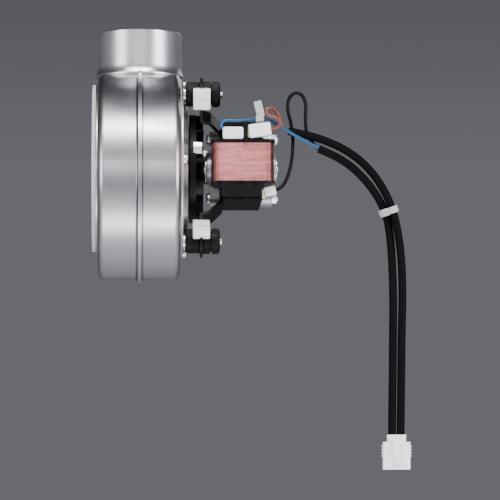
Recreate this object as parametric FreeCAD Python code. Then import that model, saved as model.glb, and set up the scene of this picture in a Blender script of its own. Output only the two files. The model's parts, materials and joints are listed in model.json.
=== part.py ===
"""Combustion fan of a wall-hung gas boiler: a steel volute, its impeller and a rubber-mounted motor.

Frame: +X runs along the shaft from the inlet to the motor, +Z is up along the flue outlet, and -Y is
the front. The origin is on the shaft axis, in the face of the inlet gasket, where the fan bolts on.
Sizes are millimetres. Angles round the shaft are measured from the front (-Y) upwards, in degrees.
"""
import FreeCAD, Part

import math
import os

V = FreeCAD.Vector
AXIS_X = V(1, 0, 0)
AXIS_Z = V(0, 0, 1)
FAR = 400.0            # longer than anything here, for cutting blocks

# Casing
SHEET = 0.8            # thickness of the casing steel
GASKET = 2.5           # inlet gasket
PLATE = 1.5            # inlet mounting plate
CASING_X0 = GASKET + PLATE
CASING_W = 58.0        # outside width of the volute
CASING_X1 = CASING_X0 + CASING_W
SEAM_X = CASING_X0 + CASING_W / 2
EDGE_R = 5.0           # rounding between the side walls and the rim
SPIRAL_STEP = 6.0      # how much each quarter turn of the volute grows
SPIRAL_R = 70.0        # first quarter's radius, from the top to the front
SHOULDER_DEG = 30.0    # where the fourth quarter turns into the shoulder behind the outlet
HEM_H = 4.2            # height of the folded seam
ROOT_R = 2.0           # bend at the foot of the seam

# Inlet
INLET_PCD = 104.0
INLET_BOLTS = 4
THREAD_R = 2.0         # M4
PLATE_R = 61.0
INLET_R = 37.0         # hole in the plate and the casing
THROAT_R = 34.0

# Outlet
OUTLET_R = 30.0        # 60 mm flue
OUTLET_TOP = 96.0
STUB_R = 28.7
STUB_TOP = 88.0

# Motor side of the casing
PORT_R = 54.8          # the impeller goes in through this hole
COVER_R = 64.0
COVER_T = 1.2
COVER_GASKET = 0.6
COVER_X = CASING_X1 + COVER_GASKET
COVER_DISH = 3.2       # how far the middle of the cover stands out
SEAL_RECESS = 1.6
FIX_R = 59.5           # radius of the ring of studs and screws
STUD_DEGS = (55.0, -65.0, 175.0)
SCREW_DEGS = (0.0, 90.0, 135.0, -135.0, -90.0)

# Impeller
WHEEL_R = 53.9
BLADE_IN_R = 42.5
BLADE_COUNT = 28
BLADE_X0 = 15.0
BLADE_X1 = 53.0

# Shaft and motor
SHAFT_R = 3.0
SHAFT_X0 = 44.0
SHAFT_X1 = 131.5
RUNNING = 0.04         # radial clearance of the shaft in its bearings
STACK_X0 = 91.7
STACK_T = 26.7
STACK_X1 = STACK_X0 + STACK_T
STACK_MID = STACK_X0 + STACK_T / 2
STACK_HALF_H = 27.5
STACK_BACK = 25.0
LEG_FRONT = -50.0      # the leg that carries the coil
LEG_BACK = -35.0
POLE_FRONT = -22.0
WINDOW_H = 16.0
BORE_R = 15.0
ROTOR_R = 14.6
BOLT_Z = 21.0          # the two through bolts, above and below the shaft
BOLT_R = 2.0
RIVET_Y, RIVET_Z, RIVET_R = 20.5, 22.0, 1.5
BRIDGE_X = 83.0        # face of the front bearing bracket
BEARING_X = 85.0
BALL_R = 7.5           # spherical seat of the self-aligning bearings
SPIDER_T = 2.0
SPIDER_X = STACK_X0 - SPIDER_T
LAND_Z = 27.0          # how far the brackets' feet reach up and down
ARM_X = 75.5           # where the spider's eyes grip the rubber mounts
NECK_R = 5.75
MOUTH = 12.4           # length of an eye's open side, from its middle

# Coil
COIL_Z0, COIL_Z1 = -14.8, 12.4
COIL_X0, COIL_X1 = 83.2, 126.9
COIL_Y0, COIL_Y1 = -56.7, -28.3
COIL_CORNER = 6.5
FLANGE_T = 1.2
TOP_FLANGE_T = 2.0
TAB_Y = -56.0
BOOT_T = 7.6
TAB_Z = 18.6           # middle of the left-hand tab
TAB_TILT = -7.5        # how far the right-hand tab is bent up
EARTH_TILT = -13.0

# Wires and lead
WIRE_D = 2.4
SLEEVE_D = 5.6
BLUE_ROUTE = [(92.8, -56.2, 19.8), (90.0, -56.2, 22.5), (90.0, -56.2, 25.5), (92.2, -56.1, 27.6),
              (96.2, -55.9, 27.5), (101.0, -55.6, 27.4), (106.0, -55.4, 27.7), (111.5, -55.1, 28.6),
              (117.0, -54.8, 28.8), (123.6, -54.0, 27.6), (129.6, -52.9, 24.9), (135.2, -51.8, 21.4),
              (141.0, -50.8, 18.0), (146.6, -49.6, 15.2), (152.2, -48.3, 12.2), (158.0, -47.7, 9.6)]
BROWN_ROUTE = [(124.3, -55.9, 21.4), (127.9, -56.5, 21.9), (131.2, -57.3, 24.2), (130.6, -57.8, 28.0),
               (126.4, -57.6, 29.8), (121.6, -56.9, 31.0), (120.6, -56.0, 35.4), (124.4, -55.0, 37.3),
               (128.6, -53.8, 34.0), (131.2, -51.6, 28.8), (132.6, -49.4, 23.4), (137.0, -47.5, 21.3)]
EARTH_ROUTE = [(127.95, -48.0, -19.95), (131.2, -48.0, -19.2), (135.4, -47.7, -13.8), (138.4, -46.8, -4.4),
               (140.0, -45.0, 6.5), (140.3, -42.6, 17.5), (139.0, -41.2, 28.0), (136.6, -41.0, 36.6),
               (136.8, -41.2, 44.4), (141.6, -41.5, 49.8), (147.6, -41.5, 47.4), (149.6, -41.2, 40.0),
               (149.0, -41.0, 31.0), (149.4, -41.0, 23.0), (151.4, -41.8, 16.0), (158.0, -45.3, 9.4)]
SUPPLY_ROUTE = [(137.0, -47.4, 21.2), (150.0, -46.4, 18.8), (164.0, -45.2, 14.6), (178.0, -44.1, 8.2),
                (190.5, -43.1, -1.2), (201.0, -42.0, -13.8), (208.8, -41.0, -29.0), (213.5, -40.0, -46.2),
                (216.2, -39.3, -67.0), (216.9, -39.0, -92.0), (216.1, -38.7, -119.0), (215.7, -38.9, -146.0),
                (215.4, -38.6, -169.0), (215.0, -38.5, -190.0)]
EARTH_SLEEVE_ROUTE = [(158.0, -46.5, 9.0), (168.0, -46.2, 5.0), (180.0, -45.2, -2.2), (190.4, -43.4, -11.8),
                      (199.2, -40.2, -22.8), (205.8, -37.0, -35.4), (208.6, -36.6, -51.0),
                      (209.8, -37.8, -71.0), (210.4, -38.6, -95.0), (210.0, -38.8, -122.0), (209.7, -39.0, -149.0),
                      (209.3, -38.7, -171.0), (209.1, -38.5, -190.0)]
TAIL_TILT = -14.0      # lean of the cut end of the small cable tie
PLUG_X, PLUG_Y, PLUG_TOP = 212.1, -38.5, -190.0
PLUG_H = 24.0

built = {}


# ---------------------------------------------------------------- helpers
def cyl(r, x0, x1, y=0.0, z=0.0):
    return Part.makeCylinder(r, x1 - x0, V(x0, y, z), AXIS_X)


def ring(r_in, r_out, x0, x1, y=0.0, z=0.0):
    return cyl(r_out, x0, x1, y, z).cut(cyl(r_in, x0 - 1, x1 + 1, y, z))


def cyl_z(r, z0, z1, x, y):
    return Part.makeCylinder(r, z1 - z0, V(x, y, z0), AXIS_Z)


def block(x0, x1, y0, y1, z0, z1):
    return Part.makeBox(x1 - x0, y1 - y0, z1 - z0, V(x0, y0, z0))


def polar(r, deg):
    """(y, z) at radius r from the shaft, deg above the front."""
    a = math.radians(deg)
    return -r * math.cos(a), r * math.sin(a)


def fuse(*shapes):
    out = shapes[0]
    if len(shapes) > 1:
        out = out.multiFuse(list(shapes[1:]))
    return out.removeSplitter()


def cut(shape, *tools):
    for tool in tools:
        shape = shape.cut(tool)
    return shape


def turned(shape, deg, axis=AXIS_X, at=V(0, 0, 0)):
    out = shape.copy()
    out.rotate(at, axis, deg)
    return out


def mirrored(shape, x):
    return shape.mirror(V(x, 0, 0), AXIS_X)


def revolved(profile):
    """A closed profile of (x, radius) points, turned about the shaft."""
    points = [V(x, r, 0) for x, r in profile]
    face = Part.Face(Part.makePolygon(points + points[:1]))
    return face.revolve(V(0, 0, 0), AXIS_X, 360)


def prism(points, x0, x1):
    """A polygon of (y, z) points between two x planes."""
    corners = [V(x0, y, z) for y, z in points]
    return Part.Face(Part.makePolygon(corners + corners[:1])).extrude(V(x1 - x0, 0, 0))


def hexagon(across, x0, x1, y, z):
    r = across / math.sqrt(3)
    return prism([(y + r * math.cos(math.radians(60 * i)), z + r * math.sin(math.radians(60 * i)))
                  for i in range(6)], x0, x1)


def rounded(shape, radius, keep):
    """Fillets the edges for which keep(edge) is true."""
    edges = [e for e in shape.Edges if keep(e)]
    return shape.makeFillet(radius, edges) if edges else shape


def edge_at_x(x, inside=None):
    def keep(e):
        b = e.BoundBox
        level = abs(b.XMin - x) < 1e-4 and abs(b.XMax - x) < 1e-4
        return level and (inside is None or inside(e))
    return keep


def along(axis):
    """True for straight edges that run along that axis."""
    def keep(e):
        if e.Curve.TypeId != "Part::GeomLine":
            return False
        d = e.tangentAt(e.FirstParameter)
        return abs(abs(d.dot(axis)) - 1) < 1e-4
    return keep


def soft_block(x0, x1, y0, y1, z0, z1, r):
    """A block with every edge rounded."""
    b = block(x0, x1, y0, y1, z0, z1)
    return b.makeFillet(r, b.Edges)


def save(name, *solids):
    found = [s for shape in solids for s in shape.Solids]
    if not found:
        raise ValueError(f"{name} has no solid")
    for s in found:
        if not s.isValid() or not s.isClosed() or s.Volume <= 0:
            raise ValueError(f"{name} has a bad solid")
    shape = found[0] if len(found) == 1 else Part.makeCompound(found)
    shape.exportStep(f"parts/{name}.step")
    built[name] = shape


# ---------------------------------------------------------------- casing
def casing_outline(x, inset):
    """The volute's outline at one x, moved inwards by inset: four growing quarters and a flat top."""
    h = SPIRAL_STEP / 2
    quarters = [((-h, -h), SPIRAL_R, 90, 180),
                ((h, -h), SPIRAL_R + 2 * h, 180, 270),
                ((h, h), SPIRAL_R + 4 * h, 270, 360),
                ((-h, h), SPIRAL_R + 6 * h, 0, SHOULDER_DEG)]
    last_r = quarters[-1][1]
    s = math.sin(math.radians(SHOULDER_DEG))
    top = SPIRAL_R - h
    shoulder_r = (top - h - last_r * s) / (1 - s)
    shoulder = (-h + (last_r - shoulder_r) * math.cos(math.radians(SHOULDER_DEG)), top - shoulder_r)
    arcs = quarters + [(shoulder, shoulder_r, SHOULDER_DEG, 90)]

    def at(centre, r, deg):
        a = math.radians(deg)
        return V(x, centre[0] + (r - inset) * math.cos(a), centre[1] + (r - inset) * math.sin(a))

    edges = [Part.Arc(at(c, r, a0), at(c, r, (a0 + a1) / 2), at(c, r, a1)).toShape()
             for c, r, a0, a1 in arcs]
    c1, r1, a1 = arcs[0][0], arcs[0][1], arcs[0][2]
    edges.append(Part.makeLine(at(*arcs[-1][:2], 90), at(c1, r1, a1)))
    return Part.Wire(Part.__sortEdges__(edges))


def casing_slab(x0, x1, inset):
    return Part.Face(casing_outline(x0, inset)).extrude(V(x1 - x0, 0, 0))


def pan(x_wall, x_open, inset, edge_r):
    """The solid of half a casing: a slab whose edge at the side wall is rounded."""
    slab = casing_slab(min(x_wall, x_open), max(x_wall, x_open), inset)
    return rounded(slab, edge_r, edge_at_x(x_wall))


def outlet_column(r, z0, z1):
    return cyl_z(r, z0, z1, SEAM_X, 0)


def half_shell(side):
    """One pressed half of the volute: side wall, rim, half of the outlet stub, and a flange of the seam."""
    x_wall = CASING_X0 if side < 0 else CASING_X1
    lo, hi = sorted((x_wall, SEAM_X))
    keep = block(lo, hi, -FAR, FAR, -FAR, FAR)
    outer = pan(x_wall, SEAM_X, 0, EDGE_R).fuse(outlet_column(STUB_R, 50, STUB_TOP).common(keep))
    inner = pan(x_wall - side * SHEET, SEAM_X, SHEET, EDGE_R - SHEET)
    bore = outlet_column(STUB_R - SHEET, 50, STUB_TOP + 1)
    body = cut(outer, inner, bore)
    if side < 0:
        flange = casing_slab(SEAM_X - SHEET, SEAM_X, -HEM_H).cut(
            casing_slab(SEAM_X - 2, SEAM_X + 1, SHEET / 2))
        wrap = casing_slab(SEAM_X, SEAM_X + 2 * SHEET, -HEM_H).cut(
            casing_slab(SEAM_X - 1, SEAM_X + 5, SHEET - HEM_H))
        lip = casing_slab(SEAM_X + SHEET, SEAM_X + 2 * SHEET, -HEM_H).cut(
            casing_slab(SEAM_X - 1, SEAM_X + 5, -ROOT_R))
        extra = fuse(flange, wrap, lip)
    else:
        extra = casing_slab(SEAM_X, SEAM_X + SHEET, SHEET - HEM_H).cut(
            casing_slab(SEAM_X - 1, SEAM_X + 2, SHEET / 2))
    extra = extra.cut(outlet_column(STUB_R, 55, FAR))
    shell = fuse(body, extra)
    root_face = SEAM_X - SHEET if side < 0 else SEAM_X + SHEET
    return shell, root_face


def root_fillet(x_face, side):
    """A concave bend in the corner between the rim and a seam flange whose outer face is at x_face."""
    t0, t1 = sorted((x_face, x_face + side * 3 * ROOT_R))
    tool = casing_slab(t0, t1, -3 * ROOT_R).cut(casing_slab(t0 - 1, t1 + 1, 0))
    reach = 3 * SPIRAL_STEP + SPIRAL_R
    tool = rounded(tool, ROOT_R,
                   edge_at_x(x_face, lambda e: min_inset(e) < ROOT_R and e.BoundBox.YMax < reach))
    b0, b1 = sorted((x_face, x_face + side * ROOT_R))
    band = casing_slab(b0, b1, -ROOT_R).cut(casing_slab(b0 - 1, b1 + 1, SHEET / 2))
    return cut(band, tool, outlet_column(OUTLET_R + 1.6, 40, FAR))


def min_inset(e):
    """How far outside the volute's outline an edge lies."""
    face = casing_outline(e.BoundBox.XMin, 0)
    return face.distToShape(Part.Vertex(e.valueAt((e.FirstParameter + e.LastParameter) / 2)))[0]


def fixing_holes(r, degs, x0, x1):
    return [cyl(r, x0, x1, *polar(FIX_R, d)) for d in degs]


def build_casing():
    bolt_degs = [45 + 360 / INLET_BOLTS * i for i in range(INLET_BOLTS)]
    bolts = [polar(INLET_PCD / 2, d) for d in bolt_degs]

    left, left_face = half_shell(-1)
    left = cut(left, cyl(INLET_R, -5, 12), *[cyl(3.0, 0, 8, y, z) for y, z in bolts])
    left = fuse(left, root_fillet(left_face, -1))
    save("inlet_half_shell", left)

    right, right_face = half_shell(1)
    right = cut(right, cyl(PORT_R, CASING_X1 - 5, CASING_X1 + 5),
                *fixing_holes(THREAD_R, SCREW_DEGS, 50, 80), *fixing_holes(2.5, STUD_DEGS, 50, 80))
    save("motor_half_shell", right)

    gasket = ring(INLET_R + 1, PLATE_R - 2, 0, GASKET)
    save("inlet_gasket", cut(gasket, *[cyl(THREAD_R, -1, 5, y, z) for y, z in bolts]))
    plate = ring(INLET_R, PLATE_R, GASKET, CASING_X0)
    plate = rounded(plate, 0.5, edge_at_x(GASKET))
    save("inlet_plate", cut(plate, *[cyl(3.0, 0, 8, y, z) for y, z in bolts]))

    nuts = []
    for y, z in bolts:
        body = fuse(cyl(3.0, GASKET, 12.3, y, z), cyl(4.4, CASING_X0 + SHEET, 7.4, y, z))
        body = rounded(body, 0.6, edge_at_x(7.4, lambda e: e.Curve.Radius > 4))
        nuts.append(body.cut(cyl(THREAD_R, 0, 10.5, y, z)))
    save("inlet_rivet_nuts", *nuts)

    inner = Part.Arc(V(GASKET, INLET_R - SHEET, 0), V(6.0, 34.7, 0), V(11, THROAT_R, 0)).toShape()
    outer = Part.Arc(V(11, THROAT_R + SHEET, 0), V(7.4, 35.4, 0), V(4.8, INLET_R, 0)).toShape()
    profile = Part.Wire([inner,
                         Part.makeLine(V(11, THROAT_R, 0), V(18, THROAT_R, 0)),
                         Part.makeLine(V(18, THROAT_R, 0), V(18, THROAT_R + SHEET, 0)),
                         Part.makeLine(V(18, THROAT_R + SHEET, 0), V(11, THROAT_R + SHEET, 0)),
                         outer,
                         Part.makeLine(V(4.8, INLET_R, 0), V(GASKET, INLET_R, 0)),
                         Part.makeLine(V(GASKET, INLET_R, 0), V(GASKET, INLET_R - SHEET, 0))])
    save("inlet_nozzle", Part.Face(profile).revolve(V(0, 0, 0), AXIS_X, 360))


def build_tongue():
    """The cut-off inside the casing: a strip folded round a nose that stands just clear of the wheel."""
    nose_r, nose = 3.4, polar(WHEEL_R + 3.2 + 3.4, 61)
    outer_foot, stub_foot = (-64.0, 36.5), (-30.8, 62.4)
    legs = []
    for (y, z), side in ((outer_foot, 1), (stub_foot, -1)):
        run = V(0, y - nose[0], z - nose[1])
        along_run = V(run).normalize()
        across = V(0, -along_run.z, along_run.y) * side
        inside, outside = across * (nose_r - SHEET), across * nose_r
        near = V(0, *nose)
        corners = [near + inside, near + outside, near + outside + run, near + inside + run]
        legs.append(prism([(c.y, c.z) for c in corners], 0, 1))
    x0, x1 = CASING_X0 + SHEET, CASING_X1 - SHEET
    band = ring(nose_r - SHEET, nose_r, 0, 1, *nose)
    wedge = prism([nose, outer_foot, (nose[0] - 20, nose[1] + 30), stub_foot], -1, 2)
    section = fuse(cut(band, wedge), *legs)
    bottom = max((f for f in section.Faces if abs(f.normalAt(0, 0).x + 1) < 1e-6), key=lambda f: f.Area)
    strip = bottom.extrude(V(x1 - x0, 0, 0))
    strip.translate(V(x0, 0, 0))
    room = fuse(pan(x0, SEAM_X, SHEET, EDGE_R - SHEET), pan(x1, SEAM_X, SHEET, EDGE_R - SHEET))
    save("cutoff_tongue", strip.common(room))


def build_collar():
    """The outlet spigot: a tube pushed over the stub, with a flared foot that saddles the volute."""
    x, top = SEAM_X, OUTLET_TOP
    profile = [V(x + STUB_R, 0, 58), V(x + STUB_R, 0, top), V(x + OUTLET_R - 0.6, 0, top),
               V(x + OUTLET_R, 0, top - 0.6), V(x + OUTLET_R, 0, 71.5)]
    rim = x + OUTLET_R
    flare = Part.Arc(V(rim, 0, 71.5), V(rim + 0.3, 0, 68.2), V(rim + 1.2, 0, 65.4))
    foot = [V(rim + 1.2, 0, 65.4), V(rim + 1.2, 0, 64.2), V(rim + 0.5, 0, 62.8), V(rim, 0, 58),
            V(x + STUB_R, 0, 58)]
    wire = Part.Wire([Part.makePolygon(profile), flare.toShape(), Part.makePolygon(foot)])
    tube = Part.Face(Part.Wire(Part.__sortEdges__(wire.Edges))).revolve(V(x, 0, 0), AXIS_Z, 360)
    drum = pan(CASING_X0, SEAM_X, 0, EDGE_R).fuse(pan(CASING_X1, SEAM_X, 0, EDGE_R))
    notch = casing_slab(SEAM_X - SHEET - 0.15, SEAM_X + 2 * SHEET + 0.15, -HEM_H - 0.2)
    beside = [block(x0, x1, -FAR, FAR, 0, COVER_R + 1)
              for x0, x1 in ((-FAR, CASING_X0), (CASING_X1, FAR))]
    collar = cut(tube, drum, notch, *beside)
    save("outlet_collar", max(collar.Solids, key=lambda s: s.Volume))


def build_cover():
    studs = fixing_holes(2.5, STUD_DEGS, 50, 80)
    screws = fixing_holes(THREAD_R, SCREW_DEGS, 50, 80)
    save("cover_gasket", cut(ring(PORT_R, COVER_R - 0.5, CASING_X1, COVER_X), *studs, *screws))

    inner, t = COVER_X, COVER_T
    face = inner + COVER_DISH
    seat = face - SEAL_RECESS
    plate = revolved([(inner + t, COVER_R), (inner + t, 53.2), (face + t, 49.8), (face + t, 15),
                      (seat + t, 13), (seat + t, 5), (seat, 5), (seat, 13.4), (face, 15.4), (face, 49.2),
                      (inner, 52.6), (inner, COVER_R)])
    plate = rounded(plate, 0.5, edge_at_x(inner + t, lambda e: e.BoundBox.YMax > COVER_R - 1))
    save("cover_plate", cut(plate, *studs, *screws))

    heads = []
    for d in SCREW_DEGS:
        y, z = polar(FIX_R, d)
        x = COVER_X + COVER_T
        head = rounded(cyl(4.0, x, x + 2.8, y, z), 1.2, edge_at_x(x + 2.8))
        cross = [block(x + 1.4, x + 4, y - 2.2, y + 2.2, z - 0.45, z + 0.45),
                 block(x + 1.4, x + 4, y - 0.45, y + 0.45, z - 2.2, z + 2.2)]
        heads.append(cut(fuse(head, cyl(THREAD_R, x - 7, x, y, z)), *cross))
    save("cover_screws", *heads)
    save("shaft_seal", ring(SHAFT_R + 0.35, 9.0, seat + t, seat + t + 1.4))


# ---------------------------------------------------------------- impeller
def build_impeller():
    bend = 9.5
    centre_r = 47.0
    hoop = cyl(bend + SHEET / 2, BLADE_X0, BLADE_X1, centre_r, 0).cut(
        cyl(bend - SHEET / 2, BLADE_X0 - 1, BLADE_X1 + 1, centre_r, 0))
    band = ring(BLADE_IN_R, WHEEL_R - 0.6, BLADE_X0 - 1, BLADE_X1 + 1)
    half = block(0, FAR, 0, FAR, -FAR, 0)
    blade = hoop.common(band).common(half)
    save("impeller_blades", *[turned(blade, 360 / BLADE_COUNT * i) for i in range(BLADE_COUNT)])

    front = revolved([(BLADE_X0 - 1.2, 40.5), (BLADE_X0 - 0.8, 40.0), (BLADE_X0, 41.5), (BLADE_X0, WHEEL_R),
                      (BLADE_X0 - SHEET, WHEEL_R), (BLADE_X0 - SHEET, 41.5)])
    save("impeller_front_ring", front)
    back = revolved([(BLADE_X1, 5.0), (BLADE_X1, WHEEL_R), (BLADE_X1 + 1, WHEEL_R), (BLADE_X1 + 1, 5.0)])
    rivets = [polar(11.5, 60 * i) for i in range(6)]
    rivet_holes = [cyl(1.5, BLADE_X1 - 8, BLADE_X1 + 8, y, z) for y, z in rivets]
    save("impeller_backplate", cut(back, *rivet_holes))

    nose, flange, screw_x = BLADE_X1 - 9.5, BLADE_X1 - 2, BLADE_X1 - 5.8
    hub = fuse(cyl(7.0, nose, flange), cyl(15.0, flange, BLADE_X1), cyl(5.0, BLADE_X1, BLADE_X1 + 1),
               cyl(7.2, BLADE_X1 + 1, BLADE_X1 + 2.2))
    hub = rounded(hub, 0.6, edge_at_x(nose))
    save("impeller_hub", cut(hub, cyl(SHAFT_R, nose - 5, 70), cyl_z(2.0, 2, 12, screw_x, 0), *rivet_holes))
    screw = cyl_z(2.0, SHAFT_R, 7.2, screw_x, 0)
    hex_z = turned(hexagon(2.0, 0, 3, 0, 0), -90, V(0, 1, 0))
    hex_z.translate(V(screw_x, 0, 5.4))
    save("hub_set_screw", screw.cut(hex_z))
    pins = []
    for y, z in rivets:
        pin = fuse(cyl(1.5, flange, BLADE_X1 + 1, y, z), cyl(2.6, flange - 1, flange, y, z),
                   cyl(2.4, BLADE_X1 + 1, BLADE_X1 + 1.9, y, z))
        pins.append(rounded(pin, 0.5, edge_at_x(flange - 1)))
    save("impeller_rivets", *pins)


# ---------------------------------------------------------------- rotor and cooling wheel
def build_rotor():
    save("rotor_shaft", rounded(cyl(SHAFT_R, SHAFT_X0, SHAFT_X1), 0.4, edge_at_x(SHAFT_X1)))
    bars = [cyl(1.2, STACK_X0 - 0.5, STACK_X1 + 0.5, *polar(12.2, 24 * i)) for i in range(15)]
    save("rotor_core", cut(ring(SHAFT_R, ROTOR_R, STACK_X0, STACK_X1), *bars))
    ends = [ring(8.0, 13.8, STACK_X0 - 2.7, STACK_X0), ring(8.0, 13.8, STACK_X1, STACK_X1 + 2.7)]
    through = [cyl(1.2, STACK_X0 - 1, STACK_X1 + 1, *polar(12.2, 24 * i)) for i in range(15)]
    save("rotor_cage", fuse(*ends, *through))

    x0, x1 = 68.4, 78.2
    wheel_r, rim_t, rim_w = 38.5, 1.5, 4.5
    hub = rounded(ring(SHAFT_R, 8.0, x0 - 0.4, x1 + 0.6), 0.6,
                  edge_at_x(x1 + 0.6, lambda e: e.BoundBox.YMax > 5))
    disc = rounded(cyl(wheel_r, x0, x0 + 1.6), 0.5, edge_at_x(x0))
    arc_r = 34.0
    curve = cyl(arc_r + 0.8, x0 + 1, x1, 0, arc_r).cut(cyl(arc_r - 0.8, x0, x1 + 1, 0, arc_r))
    vane = curve.common(block(x0, x1, 3, FAR, -FAR, FAR)).common(ring(6.5, wheel_r - 0.5, x0, x1 + 1))
    vanes = [turned(vane, 36 * i) for i in range(10)]
    rim = ring(wheel_r - rim_t, wheel_r, x0, x0 + rim_w)
    save("cooling_wheel", fuse(hub, disc, rim, *vanes).cut(cyl(SHAFT_R, 50, 90)))

    z0, z1 = 6.5, 14.5
    y0 = -math.sqrt(wheel_r ** 2 - z1 ** 2)
    jaw = block(x0 + 2.6, x0 + 8.4, y0 - 2.2, y0 + 2.0, z0, z1)
    slit = ring(wheel_r - rim_t, wheel_r, x0 - 1, x0 + rim_w)
    save("balance_clip", cut(jaw, slit, cyl(wheel_r - rim_t - 1.4, x0, x1 + 9),
                             ring(wheel_r + 1.1, 60, x0, x1 + 9)))
    spacer = ring(SHAFT_R, 6.0, 89.1, STACK_X0)
    save("thrust_spacers", spacer, mirrored(spacer, STACK_MID))


# ---------------------------------------------------------------- motor
def build_stator():
    body = block(STACK_X0, STACK_X1, LEG_FRONT, STACK_BACK, -STACK_HALF_H, STACK_HALF_H)
    body = rounded(body, 7.0, lambda e: along(AXIS_X)(e) and e.BoundBox.YMax > 0)
    body = rounded(body, 1.5, lambda e: along(AXIS_X)(e) and e.BoundBox.YMax < LEG_FRONT + 1)
    window = block(STACK_X0 - 1, STACK_X1 + 1, LEG_FRONT - 5, POLE_FRONT, -WINDOW_H, WINDOW_H)
    window = rounded(window, 2.0, lambda e: along(AXIS_X)(e) and e.BoundBox.YMax > -30)
    slots = [block(STACK_X0 - 1, STACK_X1 + 1, y0, y1, -1, 1) for y0, y1 in ((10, 22.0), (-20.4, -10))]
    bolts = [cyl(BOLT_R, STACK_X0 - 1, STACK_X1 + 1, 0, s * BOLT_Z) for s in (1, -1)]
    rings = [cyl(1.2, STACK_X0 - 1, STACK_X1 + 1, s * y, s * z) for s in (1, -1) for y, z in SHADE_HOLES]
    rivets = [cyl(RIVET_R, STACK_X0 - 1, STACK_X1 + 1, RIVET_Y, s * RIVET_Z) for s in (1, -1)]
    bore = cyl(BORE_R, STACK_X0 - 1, STACK_X1 + 1)
    save("stator_core", cut(body, window, bore, *slots, *bolts, *rings, *rivets))
    pins = []
    for s in (1, -1):
        at = (RIVET_Y, s * RIVET_Z)
        pins.append(fuse(cyl(RIVET_R, STACK_X0, STACK_X1, *at),
                         cyl(RIVET_R + 1.2, STACK_X0 - 1, STACK_X0, *at),
                         cyl(RIVET_R + 1.2, STACK_X1, STACK_X1 + 1, *at)))
    save("stack_rivets", *pins)
    leg = block(STACK_X0, STACK_X1, LEG_FRONT, LEG_BACK, -WINDOW_H, WINDOW_H)
    save("coil_leg", leg)
    loops = []
    for s in (1, -1):
        (ya, za), (yb, zb) = [(s * y, s * z) for y, z in SHADE_HOLES]
        x0, x1 = STACK_X0 - 1.1, STACK_X1 + 1.1
        bars = [cyl(1.1, x0, x1, ya, za), cyl(1.1, x0, x1, yb, zb)]
        d = V(0, yb - ya, zb - za)
        ends = [Part.makeCylinder(1.1, d.Length, V(x, ya, za), d) for x in (x0, x1)]
        balls = [Part.makeSphere(1.1, V(x, y, z)) for x in (x0, x1) for y, z in ((ya, za), (yb, zb))]
        loops.append(fuse(*bars, *ends, *balls))
    save("shading_rings", *loops)


SHADE_HOLES = [(-10.4, 14.9), (-17.0, 7.2)]


def build_coil():
    wall = FLANGE_T
    tube = block(STACK_X0 - wall, STACK_X1 + wall, LEG_FRONT - wall, LEG_BACK + wall, -WINDOW_H, WINDOW_H)
    flanges = [block(COIL_X0 - 0.6, COIL_X1 + 0.6, COIL_Y0 - 0.6, COIL_Y1 + 0.6, z0, z1)
               for z0, z1 in ((COIL_Z1, COIL_Z1 + TOP_FLANGE_T), (COIL_Z0 - FLANGE_T, COIL_Z0))]
    flanges = [rounded(f, COIL_CORNER - 1, along(AXIS_Z)) for f in flanges]
    front, back = COIL_Y0 - 0.4, LEG_FRONT - 0.3
    skirt = soft_block(84.4, 120.0, front, back, -19.6, COIL_Z0 - 0.6, 0.7)
    cheek = soft_block(90.2, 117.6, front, back, -25.4, -18.6, 0.7)
    notches = [block(x, x + w, front - 1, front + 1.3, -19.4, -15.2)
               for x, w in ((87.4, 2.6), (99.8, 5.4), (112.0, 2.6))]
    post = soft_block(105.5, 108.2, TAB_Y - BOOT_T / 2, LEG_FRONT - 0.3, COIL_Z1 + 0.4, 25.6, 0.5)
    bobbin = fuse(tube, *flanges, skirt, cheek, post)
    core = block(STACK_X0, STACK_X1, LEG_FRONT, LEG_BACK, -WINDOW_H - 1, WINDOW_H + 1)
    bobbin = cut(bobbin, core, *notches)

    def tab(x0, x1, z, rounded_x):
        blade = block(x0, x1, TAB_Y - 0.4, TAB_Y + 0.4, z - 3.15, z + 3.15)
        return rounded(blade, 1.2,
                       lambda e: along(V(0, 1, 0))(e) and abs(e.BoundBox.XMin - rounded_x) < 0.1)
    left = tab(96.4, 106.85, TAB_Z, 96.4)
    right = tilted_tab(tab(106.85, 117.2, TAB_Z, 117.2)).cut(block(90, 106.85, -60, -50, 0, 40))
    save("coil_tabs", left, right)
    save("bobbin", cut(bobbin, left, right))
    coil = block(COIL_X0, COIL_X1, COIL_Y0, COIL_Y1, COIL_Z0, COIL_Z1)
    coil = rounded(coil, COIL_CORNER, along(AXIS_Z))
    save("winding", cut(coil, tube))


def tilted_tab(shape):
    """Bends a piece of the right-hand connection up about the middle of the terminal post."""
    return turned(shape, TAB_TILT, V(0, 1, 0), V(106.85, TAB_Y, TAB_Z))


def bearing_bracket(foot_x):
    """The front bracket: a bridge over the rotor, its hub, and two legs that stand on the plane x = foot_x.

    The rear bracket is its mirror image.
    """
    reach, gap, floor = LAND_Z, 15.0, BRIDGE_X + 5
    bridge = rounded(block(BRIDGE_X, foot_x, -8.0, 8.0, -reach, reach), 7.0, along(AXIS_X))
    bridge = bridge.cut(block(floor, foot_x + 1, -9, 9, -gap, gap))
    hub = rounded(cyl(11.5, BRIDGE_X - 2.6, floor + 0.6), 1.0, edge_at_x(BRIDGE_X - 2.6))
    seat = Part.makeSphere(BALL_R, V(BEARING_X, 0, 0))
    shape = cut(bridge.fuse(hub), cyl(8.0, BRIDGE_X - 4, BEARING_X - 1), seat,
                cyl(5.0, BRIDGE_X - 3, floor + 7))
    return cut(shape, *[cyl(BOLT_R, BRIDGE_X - 3, floor + 7, 0, s * BOLT_Z) for s in (1, -1)])


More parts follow.
